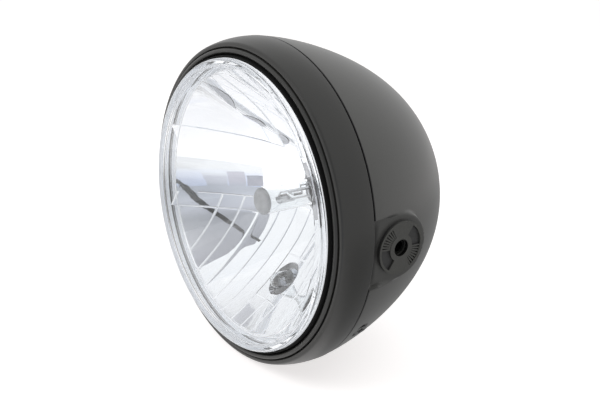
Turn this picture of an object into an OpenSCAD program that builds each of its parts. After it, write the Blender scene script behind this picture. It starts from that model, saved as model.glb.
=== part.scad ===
// Round seven-inch motorcycle headlight with side mounts.
// Built along its own axis first: local Z points the way the lamp shines and
// zero is the seam between rim and bucket. lamp() then lays it along -Y with
// the origin on the axis, halfway between the lens and the rear grommet.

/* [Lens] */
// Radius of the glass where it stands out of the rim, which the whole lamp follows
glass_r = 85.9; // [75:0.1:100]
// How far the glass flange reaches out beyond that radius
flange_lap = 3.1; // [2:0.1:3.6]
// Distance from the seam to the back of the glass flange
flange_f = 13.5; // [13:0.1:14]
// Thickness of the glass flange
flange_t = 3.5; // [3:0.1:3.8]
// Height of the glass skirt in front of the flange
skirt_h = 5.3; // [4.8:0.1:6.5]
// Thickness of the glass
glass_t = 3.5; // [2.5:0.1:4.5]
// Radius of the rounded edge of the glass
glass_edge = 1.7; // [1:0.1:2.2]
// Width of the flat band outside the bowed middle
band_w = 3.4; // [2.6:0.1:4.2]
// Depth of the groove round the bowed middle
groove_t = 0.5; // [0.2:0.1:0.8]
// Height of the bow of the glass
bow_h = 6.7; // [4:0.1:10]

/* [Gasket] */
// Thickness of the rubber in front of the flange
gasket_t = 1; // [0.8:0.1:1.1]
// Thickness of the rubber outside the flange
gasket_wall = 1.3; // [1:0.1:1.3]
// Height of the lip that shows between the glass and the bead
gasket_lip = 2.4; // [1.5:0.1:3]
// Thickness of that lip
gasket_lip_t = 1.7; // [1:0.1:1.9]

/* [Rim] */
// Width of the rim beyond the glass, at the seam
rim_face = 11.1; // [10.8:0.1:13]
// Thickness of the rim's sheet
rim_wall = 1.2; // [0.8:0.1:1.4]
// Length of the straight part of the rim's side
rim_side = 4; // [2:0.5:6]
// Radius of the bowed band in section
rim_band_r = 50; // [44:1:80]
// Radius of the shoulder in section
shoulder_r = 2.2; // [1.8:0.1:2.6]
// Distance from the seam to the front of the shoulder
shoulder_f = 19.8; // [19.4:0.1:20.4]
// Radius of the rolled bead in section
bead_r = 1.5; // [1.2:0.1:1.7]
// Gap between the bead and the glass
bead_gap = 2.1; // [1.8:0.1:2.4]
// Depth of the valley between the shoulder and the bead
valley_t = 0.6; // [0.3:0.1:0.8]
// Width of the flange turned in at the seam
return_w = 6.5; // [5.5:0.1:6.6]

/* [Bucket] */
// How far the rim stands out beyond the bucket at the seam
rim_proud = 0.2; // [0:0.1:0.8]
// Room from the vertex of the reflector to the back of the bucket
bucket_room = 56; // [50:0.5:70]
// Fullness of the bowl across its axis
bowl_n = 2.87; // [2.6:0.01:3.2]
// Fullness of the bowl along its axis
bowl_m = 1.38; // [1.3:0.01:1.5]
// Thickness of the bucket's sheet
bucket_wall = 1.2; // [0.8:0.1:1.6]
// Gap at the seam
seam_gap = 0.8; // [0.3:0.1:0.9]
// How far a side pad is pressed in from the bucket's radius
pad_in = 5.7; // [4.7:0.1:6.7]
// Half the height of a side pad
pad_half = 19.4; // [18:0.1:21]
// Distance from the seam to the middle of a side mount
mount_d = 22.8; // [20:0.1:26]
// Radius of the hole in a side pad
pad_hole_r = 4.8; // [4.5:0.1:6]
// Radius of the cable hole in the back
cable_hole_r = 10; // [8:0.5:12]

/* [Side mounts] */
// Radius of a serrated disc
disc_r = 15.3; // [14:0.1:17]
// Thickness of a serrated disc
disc_t = 2; // [1.8:0.1:3.5]
// Radius of the hole in a serrated disc
disc_hole_r = 4.75; // [4.3:0.05:5.5]
// Width of the raised edge of a disc
disc_edge = 1.4; // [1:0.1:2]
// Width of the raised hub of a disc
disc_hub = 3; // [2:0.1:3.5]
// Depth of the two recesses in a disc
recess_t = 1.2; // [0.6:0.1:1.3]
// Angle that each recess takes up
recess_a = 116; // [100:2:150]
// Number of teeth in each recess
teeth = 8; // [5:1:10]
// Width of a tooth
tooth_w = 0.9; // [0.6:0.1:1]
// Wall radius of the tapped hole for the mounting bolt
bolt_hole_r = 3.4; // [3.3:0.05:3.6]
// Length of the tapped hole
bolt_hole_l = 10; // [8:0.5:14]
// Width of a weld nut across its corners
weld_nut_w = 16; // [14:0.5:19]

/* [Rim screws] */
// Angle of a rim screw below the horizontal
screw_a = 34; // [28:1:44]
// Distance from the seam to the rim screws
screw_d = 11.5; // [10:0.5:13]
// Radius of a screw's shank
screw_r = 2.5; // [2:0.1:3]
// Length of a screw under its head
screw_l = 9; // [7.5:0.5:12]
// Radius of a screw's head
screw_head_r = 4; // [3.6:0.1:4.4]
// Height of a screw's head
screw_head_h = 2; // [1.6:0.1:2.4]
// Radius of the dimple round a screw
dimple_r = 5; // [4.8:0.1:6]
// How far a dimple is pressed in from the bucket's radius
dimple_in = 3.4; // [3.2:0.1:3.8]
// Thickness of the lugs and of the hook
lug_t = 1.6; // [1.2:0.1:1.8]
// Width of the lugs and of the hook
lug_w = 14; // [12:0.5:16]
// Distance from the seam to the end of the hook
hook_d = 12; // [10.5:0.5:13]
// How far the hook reaches out behind its catch
hook_lap = 1.6; // [1:0.1:1.8]
// Thickness of the nuts behind the lugs
nut_t = 3.2; // [2.5:0.1:4]
// Width of those nuts across their corners
nut_w = 9.2; // [8.4:0.1:11]

/* [Reflector] */
// Focal length of the reflector, set by the bulb
focal = 26; // [24:0.1:28]
// How far the mouth of the reflector lies inside the glass's radius
mouth_in = 6.3; // [5.5:0.1:8]
// Wall of the reflector, measured along its axis
reflector_wall = 3; // [2:0.1:4]
// Thickness of the reflector's flange
reflector_flange = 3; // [2.5:0.1:3.4]
// Width of the upright facets
facet_w = 10; // [8:0.5:12]
// Height of the row of short facets at the sides
facet_h = 14; // [10:0.5:18]
// Width of the rib between that row and the lower facets
facet_rib = 1; // [0.6:0.1:2]
// Step from one facet to the next
facet_step = 0.8; // [0.4:0.1:1.2]
// Height of the top of the lower facets below the axis
lower_z = 17; // [15:0.5:20]
// Height of the bottom of the upper facets above the axis
upper_z = 20; // [17:0.5:23]
// Distance from the axis to the row of short facets
level_x = 30; // [26:0.5:34]
// Number of facet widths that the upper facets take up on each side
upper_n = 4; // [2:1:5]
// Radius of the hole for the bulb
bulb_hole_r = 19; // [18:0.5:19.5]
// Width of the seat round that hole
seat_w = 5; // [4:0.5:5.5]
// Distance from the vertex of the reflector back to the seat
seat_back = 3.5; // [2.5:0.1:5]
// Radius of the collar that the boot grips
collar_r = 30; // [29:0.5:32]
// Height of that collar behind the seat
collar_h = 4; // [3:0.5:6]

/* [Bulb] */
// Radius of the bulb's glass
bulb_r = 8; // [7.5:0.1:8.7]
// Radius of the rounded edge of the bulb's flat tip
bulb_tip_r = 2.5; // [2:0.1:4]
// Distance from the seat forward to the tip of the bulb
bulb_l = 54.5; // [50:0.5:58]
// Thickness of the bulb's glass
bulb_wall = 1; // [0.7:0.1:1.3]
// Radius of the bulb's locating flange
bulb_flange_r = 21.5; // [20.5:0.1:22.5]
// Thickness of that flange
bulb_flange_t = 1; // [0.8:0.1:1.4]
// Length of the collar that grips the glass
bulb_grip = 13; // [9:0.5:16]
// Radius of the bulb's base behind the flange
base_r = 12.5; // [12:0.1:12.8]
// Length of that base
base_l = 10; // [8:0.5:13]
// Width of a terminal
terminal_w = 8; // [6:0.1:8.4]
// Thickness of a terminal
terminal_t = 0.8; // [0.6:0.1:1.1]
// Length of a terminal
terminal_l = 9; // [7:0.5:12]
// Length of a filament
filament_l = 5.5; // [4:0.1:6]
// Radius of a filament's coil
filament_r = 0.7; // [0.4:0.1:0.9]
// Radius of the wires that hold the filaments
support_r = 0.5; // [0.3:0.1:0.7]
// Distance of those wires from the axis
support_x = 5; // [4.6:0.1:5.6]
// Radius of the shield under the dipped filament
shield_r = 3.6; // [3:0.1:3.8]
// Length of that shield
shield_l = 10; // [8:0.1:10.5]
// Thickness of that shield
shield_t = 0.4; // [0.2:0.1:0.6]
// Angle that the shield takes up
shield_a = 160; // [120:5:165]
// Radius of the clip's wire
clip_wire = 0.7; // [0.5:0.1:1]
// Room between the ends of the clip and the collar round it
clip_room = 6; // [5.5:0.1:8]

/* [Boot and grommet] */
// Thickness of the boot's rubber
boot_t = 2; // [1.5:0.1:3]
// Length of the boot's sleeve
sleeve_l = 7; // [5:0.5:9]
// Thickness of the grommet's lips
grommet_lip = 2; // [1.5:0.1:3]
// Width of the grommet's lips beyond the hole
grommet_w = 3; // [2:0.1:4]
// Radius of the grommet's bore
grommet_bore = 6; // [4:0.5:7]

/* [Position light] */
// Height of the position light below the axis, as a share of the mouth's radius
position_share = 0.69; // [0.67:0.01:0.72]
// Radius of its hole
position_hole_r = 8.5; // [8:0.1:9.5]
// Wall of the boss round that hole
position_wall = 2; // [1.5:0.1:2.5]
// Length of that boss behind the mirror
position_boss = 14.6; // [14:0.1:17]
// Radius of its bulb
position_bulb_r = 5; // [4.5:0.1:5.3]
// Length of its bulb in front of the holder
position_bulb_l = 18; // [16:0.5:20]
// Length of the holder inside the hole
holder_in = 7; // [5:0.5:8]
// Thickness of the holder's flange
holder_t = 2.5; // [2:0.5:4]

/* [Hidden] */
$fn = 96;

// Clearances, the overlap that keeps a cut from ending on a face, and points along an outline
fit = 0.1;
run_fit = 0.3;
cut = 1;
steps = 16;

// The lamp's main radii, all from the glass
rim_r = glass_r + rim_face;
bucket_r = rim_r - rim_proud;
pad_x = bucket_r - pad_in;
dimple_floor = bucket_r - dimple_in;
mouth_r = glass_r - mouth_in;

// Glass and the rubber round it
flange_r = glass_r + flange_lap;
flange_front = flange_f + flange_t;
skirt_f = flange_front + skirt_h;
edge_f = skirt_f + glass_edge;
bow_r = glass_r - band_w;
lens_front = edge_f + bow_h;
skirt_in_r = glass_r - glass_t;
gasket_in_r = glass_r + fit;
gasket_out_r = flange_r + fit + gasket_wall;
gasket_front = flange_front + gasket_t;

// Rim section, with the angles at which its shoulder starts and ends
shoulder_lead = 10;
shoulder_end = 100;
bead_c = glass_r + bead_gap + bead_r;
bead_f = gasket_front + run_fit + bead_r;
shoulder_c = shoulder_f - shoulder_r;
band_a = asin((shoulder_c - rim_side) / (rim_band_r - shoulder_r));
shoulder_x = rim_r - rim_band_r + (rim_band_r - shoulder_r) * cos(band_a);
valley_r = (shoulder_x + bead_c) / 2;
valley_f = shoulder_f - valley_t;
return_r = rim_r - return_w;

// Lugs and hook
hook_drop = 1;
lug_out = dimple_floor - bucket_wall - run_fit;
hook_out = lug_out - hook_drop;

// Reflector section: the mouth and the focal length give the depth of the vertex
flange_gap = 0.5;
collar_wall = 2;
collar_dig = 6;
reflector_flange_r = flange_r - flange_gap;
reflector_front = flange_f - fit;
reflector_back = reflector_front - reflector_flange;
vertex_d = mouth_r * mouth_r / (4 * focal) - reflector_front;
seat_d = vertex_d + seat_back;
collar_in_r = collar_r - collar_wall;
collar_floor = seat_d - collar_dig;
collar_end = seat_d + collar_h;
bucket_d = vertex_d + bucket_room;

// Position light, set back from the mirror where it comes through
position_z = position_share * mouth_r;
position_d = vertex_d - position_z * position_z / (4 * focal) + position_boss;

// Bulb along the axis, counted backwards from the seam
filament_gap = 6;
bar_fit = 0.1;
grip_wall = 1;
bulb_tip_d = seat_d - bulb_l;
bulb_flange_d = seat_d + bulb_flange_t;
base_end_d = bulb_flange_d + base_l;
focus_d = vertex_d - focal;
main_front_d = focus_d;
dip_front_d = focus_d - filament_l - filament_gap;
dip_rise = 1.2;
bar_gap = support_r + bar_fit;
bar_share = 0.8;

// Clip, boot and grommet
wire_fit = 0.4;
clip_x = base_r + clip_wire + wire_fit;
clip_half = collar_in_r - clip_room;
clip_d = bulb_flange_d + clip_wire;
boot_in_r = collar_r + fit;
boot_hole_r = base_r + fit;
boot_back_d = collar_end + run_fit;
groove_front_d = bucket_d - bucket_wall - wire_fit;
grommet_r = cable_hole_r + grommet_w;
back_d = bucket_d + grommet_lip;

// Middle of the whole depth, which becomes the origin
mid_f = (lens_front - back_d) / 2;

// Outer radius of the bowl as an outline from the seam to the back
function bowl_outline(inset) = [
    for (i = [0 : steps + 8])
    let (a = 90 * i / (steps + 8))
    [(bucket_r - inset) * pow(cos(a), 2 / bowl_n), -(bucket_d - inset) * pow(sin(a), 2 / bowl_m)]
];

// Radius of the bowl at a depth behind the seam
function bowl_radius(inset, d) =
    (bucket_r - inset) * pow(1 - pow(d / (bucket_d - inset), bowl_m), 1 / bowl_n);

// Points of an arc from angle a to angle b
function arc(x, y, r, a, b, n = 8) = [
    for (i = [0 : n])
    let (t = a + (b - a) * i / n)
    [x + r * cos(t), y + r * sin(t)]
];

// Radius of a paraboloid of the reflector's focal length at a distance f
function paraboloid_r(f, deeper) = sqrt(4 * focal * (vertex_d + deeper + f));

// Outline of that paraboloid from radius r0 to radius r1
function paraboloid(r0, r1, deeper) = [
    for (i = [0 : steps])
    let (r = r0 + (r1 - r0) * i / steps)
    [r, -vertex_d - deeper + r * r / (4 * focal)]
];

// Radius of the circle that a bow of the given height makes over a given reach
function bow_radius(reach, height) = (reach * reach + height * height) / (2 * height);

// Outline of a bow that peaks on the axis at f
function bow(reach, height, f) = let (big = bow_radius(reach, height), a = asin(reach / big))
    arc(0, f - big, big, 90 - a, 90, 10);

module lamp() {
    translate([0, mid_f, 0])
        rotate([90, 0, 0])
            children();
}

// Something that points outwards at an angle round the axis and a depth behind the seam
module radial(angle, depth) {
    rotate([0, 0, angle])
        translate([0, 0, -depth])
            rotate([0, 90, 0])
                children();
}

module screw_places() {
    for (a = [-screw_a, 180 + screw_a])
        rotate([0, 0, a])
            children();
}

// A block from one corner to the opposite one
module block(a, b) {
    translate(a)
        cube(b - a);
}

// Outline of a side pad: straight to the seam, round at the back
module pad_outline(half) {
    polygon(concat([[cut, half]], [for (p = arc(-mount_d, 0, half, 90, 270, 20)) p], [[cut, -half]]));
}

// A side pad's outline carried from distance x0 to distance x1 on the right
module pad_prism(half, x0, x1) {
    translate([x0, 0, 0])
        rotate([90, 0, 90])
            linear_extrude(height = x1 - x0)
                rotate([0, 0, 90])
                    pad_outline(half);
}

// The bowl with its flats and dimples, drawn in by the sheet's thickness for its inside
module bowl(inset) {
    flat = pad_x - inset;
    difference() {
        union() {
            difference() {
                rotate_extrude()
                    polygon(concat([[0, 0]], bowl_outline(inset)));
                for (side = [0, 180])
                    rotate([0, 0, side])
                        pad_prism(pad_half + inset, flat, rim_r);
            }
            for (side = [0, 180])
                rotate([0, 0, side])
                    pad_prism(pad_half - inset, flat - pad_half - pad_in, flat);
        }
        screw_places()
            radial(0, screw_d)
                translate([0, 0, dimple_floor - inset])
                    cylinder(r = dimple_r + inset, h = rim_r - dimple_floor + inset);
    }
}

module bucket() {
    color([0.30, 0.30, 0.28])
        lamp()
            difference() {
                bowl(0);
                bowl(bucket_wall);
                block([-rim_r, -rim_r, -seam_gap], [rim_r, rim_r, 2 * cut]);
                rotate([0, 90, 0])
                    translate([mount_d, 0, -rim_r])
                        cylinder(r = pad_hole_r, h = 2 * rim_r);
                screw_places()
                    radial(0, screw_d)
                        cylinder(r = screw_r + run_fit, h = rim_r);
                translate([0, 0, -bucket_d - cut])
                    cylinder(r = cable_hole_r, h = bucket_wall + 3 * cut);
            }
}

module rim() {
    band_in = rim_band_r - rim_wall;
    outer = concat(
        [[rim_r, 0]],
        arc(rim_r - rim_band_r, rim_side, rim_band_r, 0, band_a),
        arc(shoulder_x, shoulder_c, shoulder_r, band_a + shoulder_lead, shoulder_end),
        [[valley_r, valley_f]],
        arc(bead_c, bead_f, bead_r, -10, 270, 14)
    );
    inner = concat(
        [[valley_r, valley_f - rim_wall]],
        arc(shoulder_x, shoulder_c, shoulder_r - rim_wall, shoulder_end, band_a + shoulder_lead, 4),
        arc(rim_r - rim_band_r, rim_side, band_in, band_a, 0),
        [[rim_r - rim_wall, rim_wall], [return_r, rim_wall], [return_r, 0]]
    );
    color([0.13, 0.13, 0.13])
        lamp()
            rotate_extrude()
                polygon(concat(outer, inner));
}

module lens() {
    inside = bow(skirt_in_r - glass_edge, bow_h, lens_front - glass_t);
    color([0.85, 0.92, 0.98])
        lamp()
            rotate_extrude()
                polygon(concat(
                    [[skirt_in_r, flange_f], [flange_r, flange_f], [flange_r, flange_front],
                     [glass_r, flange_front]],
                    arc(glass_r - glass_edge, skirt_f, glass_edge, 0, 90, 6),
                    [[bow_r + groove_t, edge_f], [bow_r, edge_f - groove_t]],
                    bow(bow_r - groove_t, bow_h, lens_front),
                    [for (i = [len(inside) - 1 : -1 : 0]) inside[i]],
                    [[skirt_in_r, edge_f - glass_t - glass_edge]]
                ));
}

module lens_gasket() {
    lip_r = gasket_in_r + gasket_lip_t;
    back = reflector_back;
    color([0.05, 0.05, 0.05])
        lamp()
            rotate_extrude()
                polygon([
                    [gasket_in_r, flange_front], [gasket_in_r, gasket_front + gasket_lip],
                    [lip_r, gasket_front + gasket_lip], [lip_r, gasket_front],
                    [gasket_out_r, gasket_front], [gasket_out_r, back],
                    [flange_r + fit, back], [flange_r + fit, flange_front]
                ]);
}

// Every second facet is let in by one step: upright ones above and below, and a row at the sides
module facet_bands() {
    pitch = 2 * facet_w;
    reach = mouth_r + 2 * cut;
    last = ceil(mouth_r / pitch);
    deep = -vertex_d - facet_w;
    row = -lower_z + facet_h;
    for (x = [-last * pitch : pitch : last * pitch])
        block([x, -reach, deep], [x + facet_w, -lower_z, flange_front]);
    for (x = [-upper_n * facet_w : pitch : upper_n * facet_w - facet_w])
        block([x, upper_z, deep], [x + facet_w, reach, flange_front]);
    // The row keeps clear of the plate round the bulb, and its last facet runs out through the mouth
    starts = [facet_w - last * pitch : pitch : last * pitch];
    for (x = [for (x = starts) if (abs(x + facet_w / 2) > level_x) x]) {
        end = x + facet_w > mouth_r - facet_step ? reach : x + facet_w;
        block([x, -lower_z + facet_rib, deep], [end, row, flange_front]);
    }
}

module reflector_hollow(deeper) {
    r = paraboloid_r(flange_f + cut, deeper);
    rotate_extrude()
        polygon(concat(paraboloid(0, r, deeper), [[0, flange_f + cut]]));
}

module reflector() {
    back_r = paraboloid_r(reflector_back, reflector_wall);
    color([0.80, 0.83, 0.86])
        lamp()
            difference() {
                union() {
                    rotate_extrude()
                        polygon(concat(
                            [[0, -seat_d], [bulb_hole_r + seat_w, -seat_d],
                             [bulb_hole_r + seat_w, -collar_floor], [collar_in_r, -collar_floor],
                             [collar_in_r, -collar_end], [collar_r, -collar_end]],
                            paraboloid(collar_r, back_r, reflector_wall),
                            [[reflector_flange_r, reflector_back], [reflector_flange_r, reflector_front],
                             [0, reflector_front]]
                        ));
                    translate([0, -position_z, -position_d])
                        cylinder(r = position_hole_r + position_wall, h = position_d);
                }
                reflector_hollow(0);
                intersection() {
                    reflector_hollow(facet_step);
                    facet_bands();
                }
                translate([0, 0, -seat_d - cut])
                    cylinder(r = bulb_hole_r, h = seat_d);
                translate([0, -position_z, -position_d - cut])
                    cylinder(r = position_hole_r, h = position_d + 2 * cut);
            }
}

// Bent springs that press the reflector's flange forward from the rim's turned-in flange
module retainer_clips() {
    t = 1;
    press = 5;
    foot = reflector_flange_r - t;
    end_r = rim_r - rim_wall - 0.9 * t;
    top = reflector_back - fit;
    color([0.62, 0.63, 0.64])
        lamp()
            for (a = [45 : 90 : 315])
                rotate([0, 0, a])
                    rotate([90, 0, 0])
                        linear_extrude(height = lug_w, center = true)
                            polygon([
                                [foot - press, top], [foot, top], [end_r - t, rim_wall + t],
                                [end_r, rim_wall + t], [end_r, rim_wall],
                                [return_r + t, rim_wall], [return_r + t, rim_wall + t],
                                [end_r - 2.5 * t, rim_wall + t], [foot - t, top - t],
                                [foot - press, top - t]
                            ]);
}

// One serrated disc, face up: two recesses, each with teeth in one half
module disc_shape() {
    hub_r = disc_hole_r + disc_hub;
    edge_r = disc_r - disc_edge;
    floor_t = disc_t - recess_t;
    half = recess_a / 2;
    tooth_a = half / teeth;
    tooth_root = 0.5 * recess_t;
    tooth_h = 0.8 * recess_t;
    difference() {
        cylinder(r = disc_r, h = disc_t);
        translate([0, 0, -cut])
            cylinder(r = disc_hole_r, h = disc_t + 2 * cut);
        for (side = [0, 180])
            rotate([0, 0, side - half])
                translate([0, 0, floor_t])
                    rotate_extrude(angle = recess_a)
                        translate([hub_r, 0])
                            square([edge_r - hub_r, recess_t + cut]);
    }
    for (side = [0, 180], i = [0 : teeth - 1])
        rotate([0, 0, side - tooth_a * (i + 0.5)])
            translate([hub_r - disc_edge / 2, -tooth_w / 2, floor_t - tooth_root])
                cube([edge_r - hub_r + disc_edge, tooth_w, tooth_root + tooth_h]);
}

// Puts a side piece at a distance from the axis, facing outwards
module at_side(side, x) {
    translate([side * x, 0, -mount_d])
        rotate([0, 90 * side, 0])
            children();
}

module side_disc_right() {
    color([0.16, 0.16, 0.16])
        lamp()
            at_side(1, pad_x)
                disc_shape();
}

module side_disc_left() {
    color([0.16, 0.16, 0.16])
        lamp()
            at_side(-1, pad_x)
                disc_shape();
}

module weld_nut_shape() {
    difference() {
        translate([0, 0, -bolt_hole_l])
            cylinder(d = weld_nut_w, h = bolt_hole_l, $fn = 6);
        translate([0, 0, -bolt_hole_l - cut])
            cylinder(r = bolt_hole_r, h = bolt_hole_l + 2 * cut);
    }
}

module weld_nut_right() {
    color([0.55, 0.55, 0.56])
        lamp()
            at_side(1, pad_x - bucket_wall)
                weld_nut_shape();
}

module weld_nut_left() {
    color([0.55, 0.55, 0.56])
        lamp()
            at_side(-1, pad_x - bucket_wall)
                weld_nut_shape();
}

module rim_screws() {
    color([0.10, 0.10, 0.10])
        lamp()
            screw_places()
                radial(0, screw_d) {
                    translate([0, 0, dimple_floor - screw_l])
                        cylinder(r = screw_r, h = screw_l + screw_head_h / 4);
                    translate([0, 0, dimple_floor])
                        difference() {
                            cylinder(r = screw_head_r, h = screw_head_h);
                            translate([0, 0, screw_head_h / 2])
                                for (a = [0, 90])
                                    rotate([0, 0, a])
                                        block([-screw_r, -screw_head_h / 4, 0],
                                              [screw_r, screw_head_h / 4, screw_head_h]);
                        }
                }
}

// A strip bent at the seam: its foot lies on the rim's flange, its leg reaches back into the bucket
module lug_shape(leg_out, reach) {
    leg_in = leg_out - lug_t;
    foot_out = bucket_r - bucket_wall - 2 * run_fit;
    block([leg_in, -lug_w / 2, -lug_t], [foot_out, lug_w / 2, 0]);
    block([leg_in, -lug_w / 2, -reach], [leg_out, lug_w / 2, -lug_t / 2]);
}

module rim_lugs() {
    color([0.62, 0.63, 0.64])
        lamp()
            screw_places()
                difference() {
                    lug_shape(lug_out, screw_d + lug_w / 2);
                    radial(0, screw_d)
                        cylinder(r = screw_r + run_fit, h = rim_r);
                }
}

module rim_screw_nuts() {
    top = lug_out - lug_t;
    color([0.70, 0.70, 0.68])
        lamp()
            screw_places()
                radial(0, screw_d)
                    difference() {
                        translate([0, 0, top - nut_t])
                            cylinder(d = nut_w, h = nut_t, $fn = 6);
                        cylinder(r = screw_r + fit, h = rim_r);
                    }
}

// The rim's tab at the top, bent out at its end behind the catch in the bucket
module rim_hook() {
    color([0.62, 0.63, 0.64])
        lamp()
            rotate([0, 0, 90]) {
                lug_shape(hook_out, hook_d);
                block([hook_out - lug_t, -lug_w / 2, -hook_d],
                      [hook_out + hook_lap, lug_w / 2, lug_t - hook_d]);
            }
}

// A bar welded inside the bucket in front of the hook's bent end
module hook_catch() {
    back = hook_d - lug_t - run_fit;
    inside = bowl_radius(bucket_wall, back);
    out = sqrt(inside * inside - lug_w * lug_w / 4) - fit;
    color([0.50, 0.50, 0.50])
        lamp()
            rotate([0, 0, 90])
                block([hook_out + fit, -lug_w / 2, -back], [out, lug_w / 2, lug_t - back]);
}

module cable_grommet() {
    sleeve_r = cable_hole_r - fit;
    front = groove_front_d - grommet_lip;
    color([0.05, 0.05, 0.05])
        lamp()
            rotate_extrude()
                polygon([
                    [grommet_bore, -back_d], [grommet_r, -back_d], [grommet_r, -bucket_d],
                    [sleeve_r, -bucket_d], [sleeve_r, -groove_front_d],
                    [grommet_r, -groove_front_d], [grommet_r, -front], [grommet_bore, -front]
                ]);
}

module bulb_glass() {
    inner = bulb_r - bulb_wall;
    edge = bulb_tip_d + bulb_tip_r;
    edge_x = bulb_r - bulb_tip_r;
    color([0.85, 0.88, 0.90])
        lamp()
            rotate_extrude()
                polygon(concat(
                    [[inner, -seat_d + fit], [bulb_r, -seat_d + fit]],
                    arc(edge_x, -edge, bulb_tip_r, 0, 90),
                    [[0, -bulb_tip_d], [0, -bulb_tip_d - bulb_wall]],
                    arc(edge_x, -edge, bulb_tip_r - bulb_wall, 90, 0)
                ));
}

module bulb_base() {
    grip_in = bulb_r + fit;
    grip_out = grip_in + grip_wall;
    color([0.72, 0.73, 0.74])
        lamp()
            rotate_extrude()
                polygon([
                    [0, -base_end_d], [base_r, -base_end_d], [base_r, -bulb_flange_d],
                    [bulb_flange_r, -bulb_flange_d], [bulb_flange_r, -seat_d],
                    [grip_out, -seat_d], [grip_out, -seat_d + bulb_grip],
                    [grip_in, -seat_d + bulb_grip], [grip_in, -seat_d], [0, -seat_d]
                ]);
}

module bulb_terminals() {
    out = base_r - terminal_w / 2;
    color([0.80, 0.76, 0.60])
        lamp()
            for (a = [0, 90, 180])
                rotate([0, 0, a])
                    translate([out, 0, -base_end_d - terminal_l / 2])
                        cube([terminal_t, terminal_w, terminal_l], center = true);
}

module bulb_shield() {
    color([0.60, 0.60, 0.62])
        lamp()
            translate([0, 0, -dip_front_d - shield_l])
                rotate([0, 0, 270 - shield_a / 2])
                    rotate_extrude(angle = shield_a)
                        translate([shield_r - shield_t, 0])
                            square([shield_t, shield_l]);
}

module bulb_filaments() {
    color([0.75, 0.75, 0.78])
        lamp() {
            translate([0, 0, -main_front_d - filament_l])
                cylinder(r = filament_r, h = filament_l);
            translate([0, dip_rise, -dip_front_d - filament_l])
                cylinder(r = filament_r, h = filament_l);
        }
}

// A wire from the base forward to depth d at an angle round the axis, and its bar in to the filament
module support(angle, d, rise) {
    x = support_x * cos(angle);
    y = support_x * sin(angle);
    run = sqrt(x * x + (y - rise) * (y - rise));
    turn = atan2(rise - y, -x);
    translate([x, y, -seat_d])
        cylinder(r = support_r, h = seat_d - d);
    translate([x, y, -d])
        rotate([0, 0, turn])
            rotate([0, 90, 0])
                cylinder(r = bar_share * support_r, h = run);
}

module filament_supports() {
    color([0.65, 0.65, 0.67])
        lamp() {
            support(60, dip_front_d - bar_gap, dip_rise);
            support(0, dip_front_d + filament_l + bar_gap, dip_rise);
            support(180, main_front_d - bar_gap, 0);
            support(120, main_front_d + filament_l + bar_gap, 0);
        }
}

// Spring wire over the back of the bulb's flange, on both sides of its base
module bulb_clip() {
    color([0.70, 0.71, 0.72])
        lamp() {
            for (x = [-clip_x, clip_x])
                translate([x, clip_half, -clip_d])
                    rotate([90, 0, 0])
                        cylinder(r = clip_wire, h = 2 * clip_half);
            translate([-clip_x, clip_half, -clip_d])
                rotate([0, 90, 0])
                    cylinder(r = bar_share * clip_wire, h = 2 * clip_x);
        }
}

module bulb_boot() {
    out_r = boot_in_r + boot_t;
    sleeve_r = boot_hole_r + boot_t;
    back = boot_back_d + boot_t;
    grip = boot_back_d - collar_h - boot_t;
    color([0.06, 0.06, 0.06])
        lamp()
            rotate_extrude()
                polygon([
                    [boot_in_r, -grip], [boot_in_r, -boot_back_d], [boot_hole_r, -boot_back_d],
                    [boot_hole_r, -boot_back_d - sleeve_l], [sleeve_r, -boot_back_d - sleeve_l],
                    [sleeve_r, -back], [out_r, -back], [out_r, -grip]
                ]);
}

module position_bulb() {
    back = position_d - holder_in;
    tip = back - position_bulb_l + position_bulb_r;
    wall = 0.6;
    inner = position_bulb_r - wall;
    color([0.85, 0.88, 0.90])
        lamp()
            translate([0, -position_z, 0])
                rotate_extrude()
                    polygon(concat(
                        [[0, -back + fit], [position_bulb_r, -back + fit]],
                        arc(0, -tip, position_bulb_r, 0, 90, 8),
                        arc(0, -tip, inner, 90, 0, 8),
                        [[inner, -back + position_bulb_r], [0, -back + position_bulb_r]]
                    ));
}

// Two lead wires that stand up out of the pinched glass, with the filament across them
module position_filament() {
    foot = position_d - holder_in - position_bulb_r;
    top = foot - position_bulb_r;
    reach = position_bulb_r / 2;
    wire = 0.3;
    color([0.75, 0.75, 0.78])
        lamp()
            translate([0, -position_z, 0]) {
                for (x = [-reach, reach])
                    translate([x, 0, -foot])
                        cylinder(r = wire, h = foot - top);
                translate([-reach, 0, -top])
                    rotate([0, 90, 0])
                        cylinder(r = bar_share * wire, h = 2 * reach);
            }
}

module position_holder() {
    lip = position_hole_r + position_wall;
    color([0.08, 0.08, 0.08])
        lamp()
            translate([0, -position_z, 0])
                rotate_extrude()
                    polygon([
                        [0, -position_d - holder_t], [lip, -position_d - holder_t],
                        [lip, -position_d], [position_hole_r - fit, -position_d],
                        [position_hole_r - fit, -position_d + holder_in], [0, -position_d + holder_in]
                    ]);
}

bucket();
rim();
lens();
lens_gasket();
reflector();
retainer_clips();
side_disc_left();
side_disc_right();
weld_nut_left();
weld_nut_right();
rim_screws();
rim_lugs();
rim_screw_nuts();
rim_hook();
hook_catch();
cable_grommet();
bulb_glass();
bulb_base();
bulb_terminals();
bulb_shield();
bulb_filaments();
filament_supports();
bulb_clip();
bulb_boot();
position_bulb();
position_filament();
position_holder();
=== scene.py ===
# %% [markdown]
# # A round motorcycle headlight in a white studio
# The construction model comes in first and is never moved or reshaped. Whatever is built here
# lies in the same space, in metres: the lamp shines along -Y, +Z is up, and the flat rear of the
# rim, where it meets the bowl, is the plane that every forward distance is counted from.

# %% Load the frame
import math
import bmesh
import bpy
import numpy as np
from mathutils import Matrix, Vector


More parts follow.
